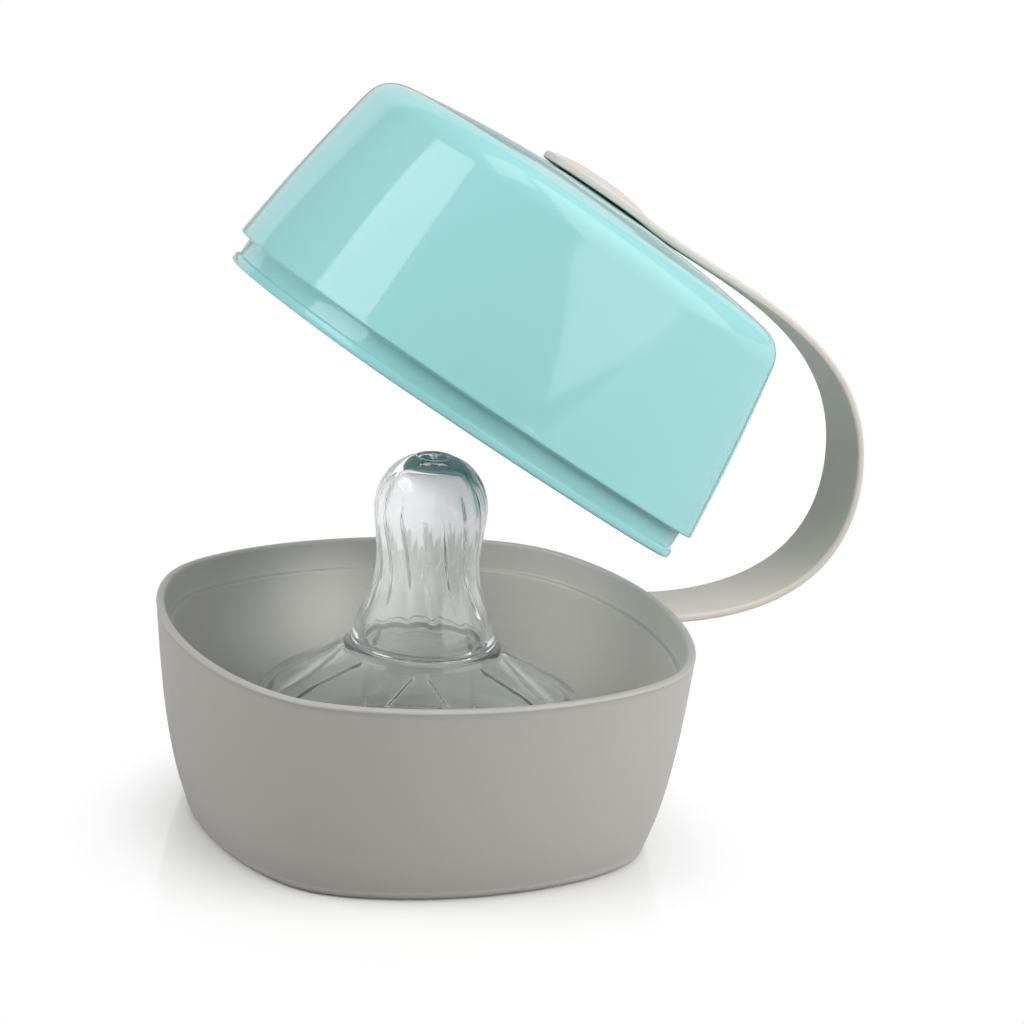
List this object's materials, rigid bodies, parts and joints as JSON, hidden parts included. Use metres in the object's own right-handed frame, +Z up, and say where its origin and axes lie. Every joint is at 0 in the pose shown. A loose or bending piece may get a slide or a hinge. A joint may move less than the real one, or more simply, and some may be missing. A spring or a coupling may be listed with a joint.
{
  "type": "pacifier sterilizer case",
  "caption": "Rounded-square carry case: tapered bowl, domed snap lid on a looped soft strap, and a clear bottle teat standing inside.",
  "frame": {"origin": "middle of the bowl's foot, on the surface it stands on", "axes": "+Z up, +X from the middle of the bowl towards the strap and the lid's flex line, +Y to the left of the strap seen from the bowl"},
  "size_m": [0.1209, 0.088, 0.1241],
  "materials": {
    "bowl_grey": "fine satin grey",
    "lid_cyan": "high gloss pale cyan",
    "strap_grey": "soft matte grey",
    "teat_clear": "clear silicone"
  },
  "bodies": {
    "case": {"bowl": "bowl_grey", "strap": "strap_grey"},
    "lid": {"lid": "lid_cyan", "strap_lock": "lid_cyan"},
    "teat": {"teat": "teat_clear"}
  },
  "joints": [
    {"name": "lid_swing", "type": "hinge", "parent": "case", "child": "lid", "pos_m": [0.0709, 0, 0.048], "axis": [0, 1, 0], "range_deg": [-33, 45], "deforming": ["strap"]},
    {"name": "teat_lift", "type": "slide", "parent": "case", "child": "teat", "axis": [0, 0, 1], "range_m": [0, 0.004]}
  ]
}
